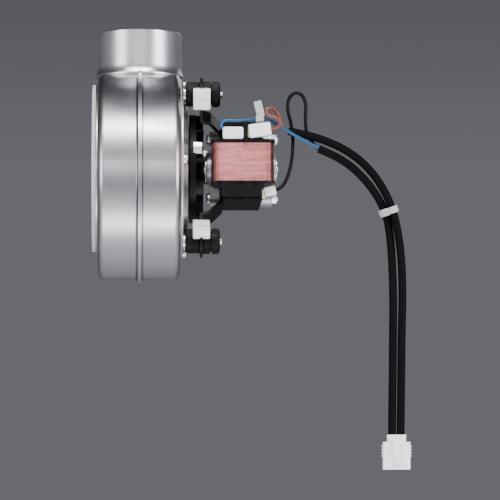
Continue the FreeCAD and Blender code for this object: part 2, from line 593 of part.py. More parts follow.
def build_bearings():
    save("front_bearing_bracket", bearing_bracket(SPIDER_X))
    save("rear_bearing_bracket", mirrored(bearing_bracket(STACK_X0), STACK_MID))
    ball = Part.makeSphere(BALL_R, V(BEARING_X, 0, 0))
    ball = ball.common(block(BEARING_X - 4, BEARING_X + 4, -10, 10, -10, 10))
    ball = ball.cut(cyl(SHAFT_R + RUNNING, 75, 95))
    save("front_bearing", ball)
    save("rear_bearing", mirrored(ball, STACK_MID))
    felt = cut(cyl(8.0, 80.8, 83.6), Part.makeSphere(BALL_R, V(BEARING_X, 0, 0)), cyl(4.2, 75, 95))
    save("felt_wicks", felt, mirrored(felt, STACK_MID))
    cap = fuse(ring(SHAFT_R + 0.6, 9.6, 79.8, BRIDGE_X - 2.6), ring(3.6, 7.9, BRIDGE_X - 2.6, 80.8))
    cap = cut(cap, *[turned(block(79, 82, -0.5, 0.5, 4.8, 8.2), 60 * i) for i in range(6)])
    save("bearing_caps", cap, mirrored(cap, STACK_MID))


def build_mounting():
    x0, x1 = SPIDER_X, STACK_X0
    band = ring(20.0, 26.4, x0, x1).cut(block(x0 - 1, x1 + 1, -FAR, -8.5, -FAR, FAR))
    lands = [rounded(block(x0, x1, -8.5, 8.5, *sorted((s * 17.0, s * LAND_Z))), 3.0,
                     lambda e: along(AXIS_X)(e) and abs(e.BoundBox.ZMax) > LAND_Z - 0.5) for s in (1, -1)]
    arms, eyes, cuts = [], [], []
    for deg, gap in zip(STUD_DEGS, KEEPER_DEGS):
        side = [(24.0, x0), (31.0, x0), (39.2, 81.6), (41.0, ARM_X), (FIX_R, ARM_X), (FIX_R, ARM_X + 2),
                (42.7, ARM_X + 2), (40.9, 83.4), (31.7, x1), (24.0, x1)]
        corners = [V(x, -8.0, r) for r, x in side]
        arm = Part.Face(Part.makePolygon(corners + corners[:1])).extrude(V(0, 16.0, 0))
        arms.append(turned(arm, 90 - deg))
        y, z = polar(FIX_R, deg)
        eyes.append(cyl(11.5, ARM_X, ARM_X + 2, y, z))
        cuts.append(cyl(NECK_R, ARM_X - 1, ARM_X + 3, y, z))
        mouth = turned(block(ARM_X - 1, ARM_X + 3, -NECK_R, NECK_R, 0, MOUTH), 90 - gap)
        mouth.translate(V(0, y, z))
        cuts.append(mouth)
    holes = [cyl(BOLT_R, x0 - 1, x1 + 1, 0, s * BOLT_Z) for s in (1, -1)]
    spider = cut(fuse(band, *lands, *arms, *eyes), *cuts, *holes)
    save("motor_spider", spider)

    studs, rubbers, sleeves, washers, nuts, keepers = [], [], [], [], [], []
    x0 = COVER_X + COVER_T
    for deg, gap in zip(STUD_DEGS, KEEPER_DEGS):
        y, z = polar(FIX_R, deg)
        studs.append(fuse(cyl(2.5, CASING_X1 - SHEET, 91.0, y, z), cyl(5.6, x0, x0 + 1.5, y, z)))
        rubbers.append(rubber_mount(x0 + 1.5, y, z))
        sleeves.append(ring(2.5, 3.2, x0 + 1.5, 84.6, y, z))
        washers.append(ring(2.5, 5.4, 84.6, 85.6, y, z))
        nuts.append(hexagon(8.0, 85.6, 89.4, y, z).cut(cyl(2.5, 80, 95, y, z)))
        keepers.append(keeper(y, z, gap).cut(spider))
    save("damper_studs", *studs)
    save("rubber_dampers", *rubbers)
    save("damper_sleeves", *sleeves)
    save("damper_washers", *washers)
    save("damper_nuts", *nuts)
    save("damper_keepers", *keepers)

    bolts, ends = [], []
    for s in (1, -1):
        z, x = s * BOLT_Z, BRIDGE_X
        head = rounded(cyl(3.6, x - 2.4, x, 0, z), 1.0, edge_at_x(x - 2.4))
        cross = [block(x - 4, x - 1.2, -dy, dy, z - dz, z + dz) for dy, dz in ((2.0, 0.4), (0.4, 2.0))]
        bolts.append(cut(fuse(head, cyl(BOLT_R, x - 1, 131.4, 0, z)), *cross))
        x = 2 * STACK_MID - BRIDGE_X
        ends.append(hexagon(7.0, x, x + 3.2, 0, z).cut(cyl(BOLT_R, x - 1, x + 5, 0, z)))
    save("through_bolts", *bolts)
    save("through_bolt_nuts", *ends)


KEEPER_DEGS = (-24.0, 39.0, 90.0)   # which way each eye's mouth opens


def rubber_mount(x0, y, z):
    """A waisted rubber bush: two bulges with the spider's eye in the groove between them."""
    x_mid0, x_mid1, x1, r = ARM_X, ARM_X + 2, 89.6, 8.6
    low = rounded(cyl(r, x0, x_mid0, y, z), 1.6, edge_at_x(x0))
    low = rounded(low, 1.0, edge_at_x(x_mid0))
    high = rounded(cyl(r + 0.4, x_mid1, x1, y, z), 2.0, edge_at_x(x1))
    high = rounded(high, 1.0, edge_at_x(x_mid1))
    groove = ring(r - 1.2, r + 3, x_mid1 + 5.0, x_mid1 + 6.6, y, z)
    body = fuse(low, high, cyl(NECK_R, x_mid0, x_mid1, y, z))
    return cut(body, groove, cyl(3.2, x0 - 1, x1 + 1, y, z), cyl(5.4, 84.6, x1 + 1, y, z))


def keeper(y, z, gap):
    """The nylon clip that closes the mouth of a spider eye, facing along gap degrees."""
    w, t, depth = 12.0, 15.0, 5.0
    near = 9.4
    body = soft_block(ARM_X + 1 - w / 2, ARM_X + 1 + w / 2, -t / 2, t / 2, near, near + depth, 1.0)
    slot = block(ARM_X, ARM_X + 2, -FAR, FAR, near - 1, 11.6)
    tongue = block(ARM_X, ARM_X + 2, -NECK_R + 0.1, NECK_R - 0.1, near + 0.2, MOUTH - 0.1)
    hollow = cyl_z(2.1, near + depth - 1.6, near + depth + 1, ARM_X - 0.9, 0)
    hollow = fuse(hollow, cyl_z(2.1, near + depth - 1.6, near + depth + 1, ARM_X + 2.9, 0),
                  block(ARM_X - 0.9, ARM_X + 2.9, -2.1, 2.1, near + depth - 1.6, near + depth + 1))
    relief = cyl(9.2, ARM_X + 1 - w, ARM_X + 1 + w)
    body = fuse(cut(body, slot, hollow, relief), tongue)
    body = turned(body, 90 - gap)
    body.translate(V(0, y, z))
    return body


# ---------------------------------------------------------------- terminals, wires and lead
def boot(x0, x1, z_mid, h, tab_x0, tab_x1):
    """A nylon boot, hollow from tab_x0 to tab_x1 and open towards the post."""
    y0, y1 = TAB_Y - BOOT_T / 2, TAB_Y + BOOT_T / 2 - 0.2
    body = soft_block(x0, x1, y0, y1, z_mid - h / 2, z_mid + h / 2, 1.6)
    return body.cut(block(tab_x0, tab_x1, TAB_Y - 1.6, TAB_Y + 1.6, TAB_Z - 3.6, TAB_Z + 3.6))


def receptacle(x0, x1):
    """The crimped brass socket inside a boot, open at both ends and slit along its back."""
    shell = block(x0, x1, TAB_Y - 1.3, TAB_Y + 1.3, TAB_Z - 3.5, TAB_Z + 3.5)
    return cut(shell, block(x0 - 1, x1 + 1, TAB_Y - 0.4, TAB_Y + 0.4, TAB_Z - 3.15, TAB_Z + 3.15),
               block(x0 - 1, x1 + 1, TAB_Y + 0.4, TAB_Y + 2, TAB_Z - 1.2, TAB_Z + 1.2))


def build_terminals():
    left = boot(90.8, 105.3, TAB_Z, 8.4, 92.4, 106)
    right = tilted_tab(boot(108.9, 124.6, TAB_Z + 0.8, 9.6, 107.6, 122.2))
    save("tab_boots", left, right)
    rest = [receptacle(93.0, 104.6), tilted_tab(receptacle(109.0, 121.6))]

    x, y, z = STACK_X1 + 0.8, -48.0, -22.0
    screw_y, screw_z = -42.2, -23.2
    base = block(STACK_X1, x, y - 0.4, -38.4, -26.6, -18.2)
    base = rounded(base, 1.2, lambda e: along(AXIS_X)(e) and e.BoundBox.YMax > -39)
    base = base.cut(cyl(1.5, STACK_X1 - 1, x + 1, screw_y, screw_z))

    def tilted(shape):
        return turned(shape, EARTH_TILT, V(0, 1, 0), V(x, y, z))
    tongue = tilted(block(x - 0.4, x + 7.6, y - 0.4, y + 0.4, z - 2.4, z + 2.4))
    tongue = tongue.cut(block(STACK_X0, STACK_X1, -60, -40, -40, 0))
    shell = cut(block(x + 1.2, x + 7.8, y - 1.2, y + 1.2, z - 2.75, z + 2.75),
                block(x, x + 9, y - 0.4, y + 0.4, z - 2.4, z + 2.4))
    cover = soft_block(x + 0.6, x + 9.0, y - 2.2, y + 2.2, z - 3.3, z + 3.3, 1.0)
    cover = cut(cover, block(x, x + 7.9, y - 1.3, y + 1.3, z - 2.8, z + 2.8))
    save("earth_tab", fuse(base, tongue))
    save("earth_tab_boot", tilted(cover))
    save("tab_receptacles", *rest, tilted(shell))
    head = rounded(cyl(2.8, x, x + 1.8, screw_y, screw_z), 0.8, edge_at_x(x + 1.8))
    screw = cut(head, block(x + 1.0, x + 3, screw_y - 3, screw_y + 3, screw_z - 0.4, screw_z + 0.4))
    save("earth_screw", fuse(screw, cyl(1.5, STACK_X1, x, screw_y, screw_z)))


def cord_path(points):
    """Straight runs joined by arcs as large as the runs allow, and the tightest arc's radius."""
    pts = [V(*p) for p in points]
    edges, start, tightest = [], pts[0], math.inf
    for a, b, c in zip(pts, pts[1:], pts[2:]):
        setback = 0.45 * min((b - a).Length, (c - b).Length)
        into, out = (b - a).normalize(), (c - b).normalize()
        half_turn = into.getAngle(out) / 2
        radius = setback / math.tan(half_turn)
        tightest = min(tightest, radius)
        middle = b + (out - into).normalize() * (radius / math.cos(half_turn) - radius)
        p, q = b - into * setback, b + out * setback
        edges += [Part.makeLine(start, p), Part.Arc(p, middle, q).toShape()]
        start = q
    edges.append(Part.makeLine(start, pts[-1]))
    return Part.Wire(edges), tightest


def cord(name, points, diameter, *ends):
    """A wire or sleeve along its route. It stops at the faces of the pieces named in ends."""
    path, tightest = cord_path(points)
    start = V(*points[1]) - V(*points[0])
    circle = Part.Wire([Part.makeCircle(diameter / 2, V(*points[0]), start)])
    tube = path.makePipeShell([circle], True, True, 1)
    expected = math.pi * diameter ** 2 / 4 * path.Length
    print(f"{name}: length {path.Length:.1f}, tightest radius {tightest:.1f} = "
          f"{tightest / diameter:.1f} diameters, volume share {tube.Volume / expected:.4f}")
    save(name, cut(tube, *[built[end] for end in ends]))


def build_leads():
    build_plug()
    cord("supply_sleeve", SUPPLY_ROUTE, SLEEVE_D, "lead_plug")
    cord("earth_sleeve", EARTH_SLEEVE_ROUTE, SLEEVE_D, "lead_plug")
    cord("blue_wire", BLUE_ROUTE, WIRE_D, "tab_boots", "tab_receptacles", "earth_sleeve")
    cord("brown_wire", BROWN_ROUTE, WIRE_D, "tab_boots", "supply_sleeve")
    cord("earth_wire", EARTH_ROUTE, WIRE_D, "earth_tab_boot", "earth_sleeve")

    a, b = V(209.8, -40.8, -33.0), V(204.9, -37.5, -34.3)
    middle, across = (a + b) * 0.5, (a - b)
    gap = across.Length
    down = V(0.34, 0.11, -0.93)
    band = stadium_band(gap, SLEEVE_D / 2 + 0.4, 1.1, 4.6)
    head = soft_block(-2.6, 2.6, SLEEVE_D / 2 + 0.9, SLEEVE_D / 2 + 4.6, -2.6, 2.6, 0.6)
    tie = fuse(band, head)
    save("lead_tie", placed(tie, middle, across, down))

    x0, x1 = 114.2, 118.8
    wire_y, wire_z, r = -54.8, 28.75, WIRE_D / 2 + 0.5
    band = ring(r, r + 1.0, x0, x1, wire_y, wire_z)
    head = soft_block(x0 - 0.5, x1 + 0.5, wire_y - 4.6, wire_y - r - 0.5, wire_z - 2.2, wire_z + 2.2, 0.6)
    tail = rounded(block(-2.7, 2.7, -0.5, 0.5, 0, 10.8), 0.45, along(V(0, 1, 0)))
    tail = turned(tail, TAIL_TILT, V(0, 1, 0))
    tail.translate(V(117.4, wire_y - 2.9, wire_z + 1.6))
    save("wire_tie", fuse(band, head, tail))


def stadium_band(gap, r, t, width):
    """A cable tie's band round two sleeves: local x across them, local z along them."""
    def slug(radius, h):
        ends = [Part.makeCylinder(radius, h, V(s * gap / 2, 0, -h / 2), AXIS_Z) for s in (1, -1)]
        return fuse(block(-gap / 2, gap / 2, -radius, radius, -h / 2, h / 2), *ends)
    return slug(r + t, width).cut(slug(r, width + 2))


def placed(shape, at, x_way, z_way):
    """Moves a shape from the origin: its local z runs along z_way, its x as near x_way as it can."""
    z = V(z_way).normalize()
    x = (V(x_way) - z * V(x_way).dot(z)).normalize()
    y = z.cross(x)
    return shape.transformed(FreeCAD.Matrix(x.x, y.x, z.x, at.x,
                                            x.y, y.y, z.y, at.y,
                                            x.z, y.z, z.z, at.z,
                                            0, 0, 0, 1))


def build_plug():
    """The three-way in-line plug, moulded round its contacts, with a latch on its front."""
    x, y, top = PLUG_X, PLUG_Y, PLUG_TOP
    w, d = 19.0, 9.0
    floor = top - PLUG_H
    body = rounded(block(x - w / 2, x + w / 2, y - d / 2, y + d / 2, floor, top - 5.0), 1.0, along(AXIS_Z))
    neck = rounded(block(x - 6.6, x + 6.6, y - 3.8, y + 3.8, top - 6.0, top), 1.2, along(AXIS_Z))
    latch = soft_block(x - 2.6, x + 2.6, y - d / 2 - 2.4, y - d / 2 - 0.9, floor + 4, top - 3.0, 0.5)
    root = block(x - 2.6, x + 2.6, y - d / 2 - 1.6, y - d / 2 + 1, top - 12.5, top - 9.0)
    ridges = [block(x - w / 2 - 0.7, x + w / 2 + 0.7, y - 3.0, y + 3.0, z - 1.2, z)
              for z in (top - 7.4, top - 9.6, top - 11.8, top - 14.0)]
    ways = (-5.0, 0.0, 5.0)
    cavities = [block(x + dx - 1.7, x + dx + 1.7, y - 1.7, y + 1.7, floor - 1, floor + 12) for dx in ways]
    pins = [block(x + dx - 0.9, x + dx + 0.9, y - 0.9, y + 0.9, floor + 1.2, top - 7) for dx in ways]
    save("lead_plug", cut(fuse(body, neck, latch, root, *ridges), *cavities, *pins))
    save("plug_contacts", *pins)


os.makedirs("parts", exist_ok=True)
build_casing()
build_tongue()
build_collar()
build_cover()
build_impeller()
build_rotor()
build_stator()
build_coil()
build_bearings()
build_mounting()
build_terminals()
build_leads()
print(len(built), "nodes")
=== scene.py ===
"""Looks for a boiler's combustion fan: its materials, the coil's wire, the leads and the studio."""

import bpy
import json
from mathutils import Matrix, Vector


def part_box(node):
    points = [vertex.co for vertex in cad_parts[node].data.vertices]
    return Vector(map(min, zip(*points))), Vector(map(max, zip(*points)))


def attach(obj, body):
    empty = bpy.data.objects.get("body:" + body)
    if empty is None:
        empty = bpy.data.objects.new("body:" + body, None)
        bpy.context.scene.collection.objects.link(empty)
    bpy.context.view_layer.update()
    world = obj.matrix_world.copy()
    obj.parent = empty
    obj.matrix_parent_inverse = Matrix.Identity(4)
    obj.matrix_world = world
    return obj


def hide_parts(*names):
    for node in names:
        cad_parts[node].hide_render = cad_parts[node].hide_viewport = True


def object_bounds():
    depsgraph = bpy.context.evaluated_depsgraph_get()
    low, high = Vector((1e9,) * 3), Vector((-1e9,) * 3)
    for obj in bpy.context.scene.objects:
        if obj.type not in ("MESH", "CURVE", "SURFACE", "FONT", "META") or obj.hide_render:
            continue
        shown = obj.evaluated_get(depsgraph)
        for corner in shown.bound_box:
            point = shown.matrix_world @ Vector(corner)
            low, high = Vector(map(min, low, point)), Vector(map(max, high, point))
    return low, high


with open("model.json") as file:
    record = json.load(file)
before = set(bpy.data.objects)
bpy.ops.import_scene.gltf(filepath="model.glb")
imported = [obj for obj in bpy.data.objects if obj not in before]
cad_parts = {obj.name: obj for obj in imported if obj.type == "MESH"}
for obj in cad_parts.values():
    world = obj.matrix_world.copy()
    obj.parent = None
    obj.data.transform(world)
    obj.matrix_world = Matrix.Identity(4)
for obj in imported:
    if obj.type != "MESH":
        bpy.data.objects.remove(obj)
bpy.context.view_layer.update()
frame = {"nodes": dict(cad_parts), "record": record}

import json
import math
import random

import bmesh
import bpy
from mathutils import Vector

MM = 0.001
NODES = frame["nodes"]
SEAM_X = sum(c.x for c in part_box("outlet_collar")) / 2     # middle of the spigot and of the volute
SEAM_OFFSET = 0.4 * MM     # the folded seam is thicker on its motor side


# ---------------------------------------------------------------- camera, light and floor
VIEWPOINT = (0.031, -2.4, -0.284)       # level with the middle of the boiler, so the fan is seen from below
LOOKED_AT = (0.111, -0.02, -0.0595)
LENS_MM = 245
SENSOR_MM = 36
LIT_POINT = (0.07, 0.0, -0.02)
# name: place, target, width and height in metres, watts
LAMPS = {
    "key_light": ((0.03, -1.45, 1.50), LIT_POINT, 1.7, 0.42, 44),
    "low_bounce": ((0.03, -0.62, -1.05), LIT_POINT, 1.3, 0.35, 8),
    "front_fill": ((0.03, -3.3, 0.12), LIT_POINT, 2.6, 0.8, 16),
    "right_fill": ((2.1, -1.5, 0.05), LIT_POINT, 1.1, 1.3, 46),
    "left_fill": ((-1.9, -1.6, 0.05), LIT_POINT, 1.1, 1.3, 30),
    "back_light": ((0.9, 2.0, 0.9), LIT_POINT, 1.4, 0.7, 4),
    "floor_wash": ((0.1, -1.8, 1.9), (0.1, -2.1, -1.4), 2.4, 1.1, 34),
}
# Grey of the surroundings by height, from straight down (0) to straight up (1). The horizon is at 0.5.
SKY = [(0.0, 0.10), (0.40, 0.14), (0.48, 0.40), (0.56, 0.40), (0.62, 0.10), (0.76, 0.06), (1.0, 0.04)]
SKY_BLUE = 1.12                         # how much bluer than grey
DIM_BEHIND = 0.36                       # share of the light that comes from behind the fan
FLOOR_REACH = 12.0
FLOOR_DROP = 1.1                        # the fan hangs this far above the floor


def look_at(thing, target):
    way = Vector(target) - thing.location
    thing.rotation_euler = way.to_track_quat("-Z", "Y").to_euler()


def add_camera():
    data = bpy.data.cameras.new("camera")
    camera = bpy.data.objects.new("camera", data)
    bpy.context.scene.collection.objects.link(camera)
    camera.location = VIEWPOINT
    look_at(camera, LOOKED_AT)
    data.lens = LENS_MM
    data.sensor_width = SENSOR_MM
    data.clip_start = 0.05
    bpy.context.scene.camera = camera


def add_area(name, place, target, width, height, watts):
    data = bpy.data.lights.new(name, "AREA")
    data.shape = "RECTANGLE"
    data.size, data.size_y = width, height
    data.energy = watts
    lamp = bpy.data.objects.new(name, data)
    bpy.context.scene.collection.objects.link(lamp)
    lamp.location = place
    look_at(lamp, target)


def add_studio():
    for name, lamp in LAMPS.items():
        add_area(name, *lamp)
    world = bpy.data.worlds.new("studio")
    bpy.context.scene.world = world
    world.use_nodes = True
    tree = world.node_tree
    coords = tree.nodes.new("ShaderNodeTexCoord")
    split = tree.nodes.new("ShaderNodeSeparateXYZ")
    ramp = tree.nodes.new("ShaderNodeValToRGB")
    tree.links.new(coords.outputs["Generated"], split.inputs[0])
    height = tree.nodes.new("ShaderNodeMapRange")
    height.inputs["From Min"].default_value = -1
    tree.links.new(split.outputs["Z"], height.inputs["Value"])
    tree.links.new(height.outputs[0], ramp.inputs[0])
    for place, _ in SKY[1:-1]:      # a new ramp has its first and last stop already
        ramp.color_ramp.elements.new(place)
    for stop, (_, grey) in zip(ramp.color_ramp.elements, SKY):
        stop.color = (grey, grey, grey * SKY_BLUE, 1)
    background = tree.nodes["Background"]
    tree.links.new(ramp.outputs[0], background.inputs["Color"])
    behind = tree.nodes.new("ShaderNodeMapRange")
    for socket, value in (("From Min", 0.1), ("From Max", 0.8), ("To Min", 1.0), ("To Max", DIM_BEHIND)):
        behind.inputs[socket].default_value = value
    tree.links.new(split.outputs["Y"], behind.inputs["Value"])
    tree.links.new(behind.outputs[0], background.inputs["Strength"])


def add_floor():
    mesh = bpy.data.meshes.new("floor")
    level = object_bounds()[0].z - FLOOR_DROP
    corners = [(FLOOR_REACH * x, FLOOR_REACH * y, level) for x, y in ((-1, -1), (1, -1), (1, 1), (-1, 1))]
    mesh.from_pydata(corners, [], [(0, 1, 2, 3)])
    floor = bpy.data.objects.new("floor", mesh)
    bpy.context.scene.collection.objects.link(floor)
    mat = bpy.data.materials.new("floor_paper")
    mat.use_nodes = True
    bsdf = mat.node_tree.nodes["Principled BSDF"]
    bsdf.inputs["Base Color"].default_value = (0.80, 0.80, 0.81, 1)
    bsdf.inputs["Roughness"].default_value = 0.9
    mesh.materials.append(mat)


add_camera()
add_studio()
add_floor()


# ---------------------------------------------------------------- material kit
DUST = (0.20, 0.195, 0.19)
FINE = 0.03 * MM           # depth of fine relief
COARSE = 0.06 * MM         # depth of cast and laminated relief
SHEET_PITCH = 1.0 * MM     # of the laminations
MATT_BLACK = 0.12          # Specular IOR Level of the blacks, which gloss would turn grey
DEAD_BLACK = 0.06


class Shader:
    """One Principled material and the few node patterns that the materials below are made from."""

    def __init__(self, name, colour, rough, metallic=0.0, **extra):
        self.mat = bpy.data.materials.new(name)
        self.mat.use_nodes = True
        self.tree = self.mat.node_tree
        self.bsdf = self.tree.nodes["Principled BSDF"]
        self.colour = colour
        self.bsdf.inputs["Base Color"].default_value = (*colour, 1)
        self.bsdf.inputs["Roughness"].default_value = rough
        self.bsdf.inputs["Metallic"].default_value = metallic
        for socket, value in extra.items():
            self.bsdf.inputs[socket.replace("_", " ")].default_value = value
        self.coords = self.node("TexCoord").outputs["Object"]
        self.paint = None

    def node(self, kind, **values):
        made = self.tree.nodes.new("ShaderNode" + kind)
        for key, value in values.items():
            setattr(made, key, value)
        return made

    def link(self, out, socket):
        self.tree.links.new(out, socket)

    def math(self, operation, a, b=None):
        made = self.node("Math", operation=operation)
        for socket, value in zip(made.inputs, (a, b)):
            if isinstance(value, (int, float)):
                socket.default_value = value
            elif value is not None:
                self.link(value, socket)
        return made.outputs[0]

    def noise(self, scale, detail=3.0, rough=0.55, coords=None):
        made = self.node("TexNoise")
        self.link(coords or self.coords, made.inputs["Vector"])
        for key, value in (("Scale", scale), ("Detail", detail), ("Roughness", rough)):
            made.inputs[key].default_value = value
        return made.outputs["Fac"]

    def spread(self, value, low, high, out_low=0.0, out_high=1.0):
        """Stretches low to high over out_low to out_high, and stops at both."""
        made = self.node("MapRange")
        self.link(value, made.inputs["Value"])
        for key, number in (("From Min", low), ("From Max", high), ("To Min", out_low), ("To Max", out_high)):
            made.inputs[key].default_value = number
        return made.outputs[0]

    def rough(self, value, low, high):
        """Roughness from low to high as a noise goes over its middle half."""
        self.link(self.spread(value, 0.3, 0.7, low, high), self.bsdf.inputs["Roughness"])

    def tint(self, mask, colour, amount=1.0):
        """Lays a colour over what is there, where the mask is 1."""
        mix = self.node("Mix", data_type="RGBA")
        if self.paint is None:
            self.colour_socket(mix, "A").default_value = (*self.colour, 1)
        else:
            self.link(self.paint, self.colour_socket(mix, "A"))
        self.colour_socket(mix, "B").default_value = (*colour, 1)
        self.link(self.math("MULTIPLY", mask, amount), mix.inputs["Factor"])
        self.paint = [s for s in mix.outputs if s.type == "RGBA"][0]
        self.link(self.paint, self.bsdf.inputs["Base Color"])

    @staticmethod
    def colour_socket(mix, name):
        return [s for s in mix.inputs if s.name == name and s.type == "RGBA"][0]

    def bump(self, value, strength, depth):
        """Adds to the surface's relief. depth is in metres."""
        made = self.node("Bump")
        made.inputs["Strength"].default_value = strength
        made.inputs["Distance"].default_value = depth
        self.link(value, made.inputs["Height"])
        normal = self.bsdf.inputs["Normal"]
        if normal.is_linked:
            self.link(normal.links[0].from_socket, made.inputs["Normal"])
        self.link(made.outputs[0], normal)

    def parts(self):
        split = self.node("SeparateXYZ")
        self.link(self.coords, split.inputs[0])
        return split.outputs["X"], split.outputs["Y"], split.outputs["Z"]

    def joined(self, x, y, z):
        """A vector from three outputs or numbers."""
        made = self.node("CombineXYZ")
        for socket, value in zip(made.inputs, (x, y, z)):
            if isinstance(value, (int, float)):
                socket.default_value = value
            else:
                self.link(value, socket)
        return made.outputs[0]

    def round_grain(self, around_z=False, fine=9000.0, sweep=5.0):
        """Coordinates that run along lines turned about the shaft, or about the spigot's axis."""
        x, y, z = self.parts()
        if around_z:
            x = self.math("SUBTRACT", x, SEAM_X)
            angle, along, out = self.math("ARCTAN2", y, x), z, (x, y)
        else:
            angle, along, out = self.math("ARCTAN2", z, y), x, (y, z)
        square = [self.math("MULTIPLY", side, side) for side in out]
        radius = self.math("SQRT", self.math("ADD", *square))
        return self.joined(self.math("MULTIPLY", along, fine), self.math("MULTIPLY", radius, fine),
                           self.math("MULTIPLY", angle, sweep))

    def facing_up(self):
        """1 on faces that look straight up, 0 on upright and lower ones."""
        split = self.node("SeparateXYZ")
        self.link(self.node("NewGeometry").outputs["Normal"], split.inputs[0])
        return self.spread(split.outputs["Z"], 0.15, 0.95)

    def dust(self, amount):
        """Patchy dust on faces that look up."""
        patchy = self.spread(self.noise(260, 4), 0.35, 0.7, 0.45, 1.0)
        self.tint(self.math("MULTIPLY", self.facing_up(), patchy), DUST, amount)


# ---------------------------------------------------------------- materials
def sheet_steel(name, colour, around_z=False, smoke=0.25):
    """Aluminised sheet with turned grain, smoke stains and small dark specks; on the volute, painted shade
    along both roots of the folded seam.
    """
    s = Shader(name, colour, 0.3, 1.0)
    grain = s.noise(1.0, 2.0, 0.6, s.round_grain(around_z))
    s.bump(grain, 0.16, FINE)
    s.rough(s.noise(40, 2), 0.29, 0.36)
    s.tint(s.spread(grain, 0.3, 0.75), tuple(c * 0.82 for c in colour), 0.5)
    s.tint(s.spread(s.noise(38, 5, 0.62), 0.42, 0.78), (0.33, 0.31, 0.30), smoke)
    s.tint(s.spread(s.noise(900, 2), 0.68, 0.80), (0.34, 0.33, 0.34), 0.25)
    if not around_z:       # painted shade in the corners along both sides of the folded seam
        x, _, _ = s.parts()
        beside = s.math("ABSOLUTE", s.math("SUBTRACT", x, SEAM_X + SEAM_OFFSET))
        seam_root_shade = s.math("MULTIPLY", s.spread(beside, 1.2 * MM, 1.5 * MM), s.spread(beside, 3.2 * MM, 1.7 * MM))
        s.tint(seam_root_shade, (0.10, 0.09, 0.09), 0.8)
    return s


def zinc(name, colour, rough):
    """A plated or turned metal, with slight yellowing in patches."""
    s = Shader(name, colour, 0.3, 1.0)
    s.rough(s.noise(420, 3), *rough)
    s.tint(s.spread(s.noise(230, 3), 0.45, 0.75), (0.56, 0.54, 0.47), 0.35)
    s.bump(s.noise(2600, 2), 0.10, FINE)
    return s


def galvanised():
    s = Shader("galvanised_plate", (0.60, 0.61, 0.63), 0.4, 1.0)
    spangle = s.node("TexVoronoi")
    s.link(s.coords, spangle.inputs["Vector"])
    spangle.inputs["Scale"].default_value = 260
    grey = s.node("SeparateColor")
    s.link(spangle.outputs["Color"], grey.inputs[0])
    s.link(s.spread(grey.outputs[0], 0, 1, 0.30, 0.46), s.bsdf.inputs["Roughness"])
    s.tint(grey.outputs[1], (0.44, 0.45, 0.48), 0.5)
    return s


def plastic(name, colour, rough, grain=3200, relief=0.12, dusty=0.0, **extra):
    s = Shader(name, colour, rough, 0.0, **extra)
    s.rough(s.noise(300, 4), rough * 0.82, rough * 1.15)
    s.bump(s.noise(grain, 2), relief, FINE)
    s.tint(s.spread(s.noise(90, 4), 0.45, 0.75), tuple(c * 0.8 for c in colour), 0.4)
    if dusty:
        s.dust(dusty)
    return s


def laminated():
    """Lacquered sheets, stacked along the shaft. A wave's period is pi / 10 over its scale."""
    s = Shader("laminations", (0.003, 0.003, 0.004), 0.50, Specular_IOR_Level=DEAD_BLACK)
    x, _, _ = s.parts()
    sheets = s.node("TexWave", wave_type="BANDS", bands_direction="X")
    s.link(s.joined(x, 0.0, 0.0), sheets.inputs["Vector"])
    sheets.inputs["Scale"].default_value = math.pi / 10 / SHEET_PITCH
    s.bump(sheets.outputs["Fac"], 0.35, COARSE)
    s.tint(s.spread(s.noise(500, 4), 0.52, 0.66), (0.05, 0.043, 0.038), 0.5)
    s.dust(0.10)
    return s


def copper(name, colour, **extra):
    """Enamelled wire: long streaks along the turns, and a tone of its own for each turn."""
    s = Shader(name, colour, 0.26, 1.0, **extra)
    x, y, z = s.parts()
    lay = s.joined(s.math("MULTIPLY", x, 45), s.math("MULTIPLY", y, 45), s.math("MULTIPLY", z, 420))
    darker = tuple(c * share for c, share in zip(colour, (0.62, 0.50, 0.48)))
    s.tint(s.spread(s.noise(1.0, 4, 0.6, lay), 0.42, 0.68), darker, 0.9)
    each_turn = s.joined(x, y, s.math("MULTIPLY", z, 2400))
    s.tint(s.spread(s.noise(1.0, 3, 0.6, each_turn), 0.45, 0.7), tuple(c * 0.7 for c in colour), 0.5)
    s.rough(s.noise(700, 3), 0.24, 0.40)
    return s


def cast():
    s = Shader("cast_bracket", (0.44, 0.44, 0.46), 0.45, 1.0)
    s.bump(s.noise(1500, 4), 0.35, COARSE)
    s.rough(s.noise(500, 3), 0.38, 0.58)
    s.tint(s.spread(s.noise(160, 4), 0.45, 0.7), (0.24, 0.24, 0.26), 0.6)
    return s


def fibre():
    s = Shader("gasket_fibre", (0.66, 0.64, 0.60), 0.95)
    s.bump(s.noise(2400, 5, 0.7), 0.6, 0.15 * MM)
    s.tint(s.spread(s.noise(700, 4), 0.45, 0.7), (0.42, 0.39, 0.35), 0.6)
    return s


# slot: colour, lowest and highest roughness
PLATED = {
    "zinc_steel": ((0.72, 0.73, 0.76), (0.22, 0.42)),
    "hub_brass": ((0.72, 0.55, 0.27), (0.2, 0.35)),
    "shaft_steel": ((0.62, 0.62, 0.64), (0.12, 0.22)),
    "cage_aluminium": ((0.74, 0.74, 0.75), (0.35, 0.5)),
    "bearing_bronze": ((0.50, 0.34, 0.18), (0.3, 0.5)),
    "tin_plate": ((0.70, 0.70, 0.71), (0.2, 0.4)),
    "tab_brass": ((0.50, 0.40, 0.22), (0.2, 0.35)),
}
BLACK = {"Specular_IOR_Level": MATT_BLACK}
SMOOTH = {"grain": 2200, "relief": 0.06, "Subsurface_Scale": 2 * MM}
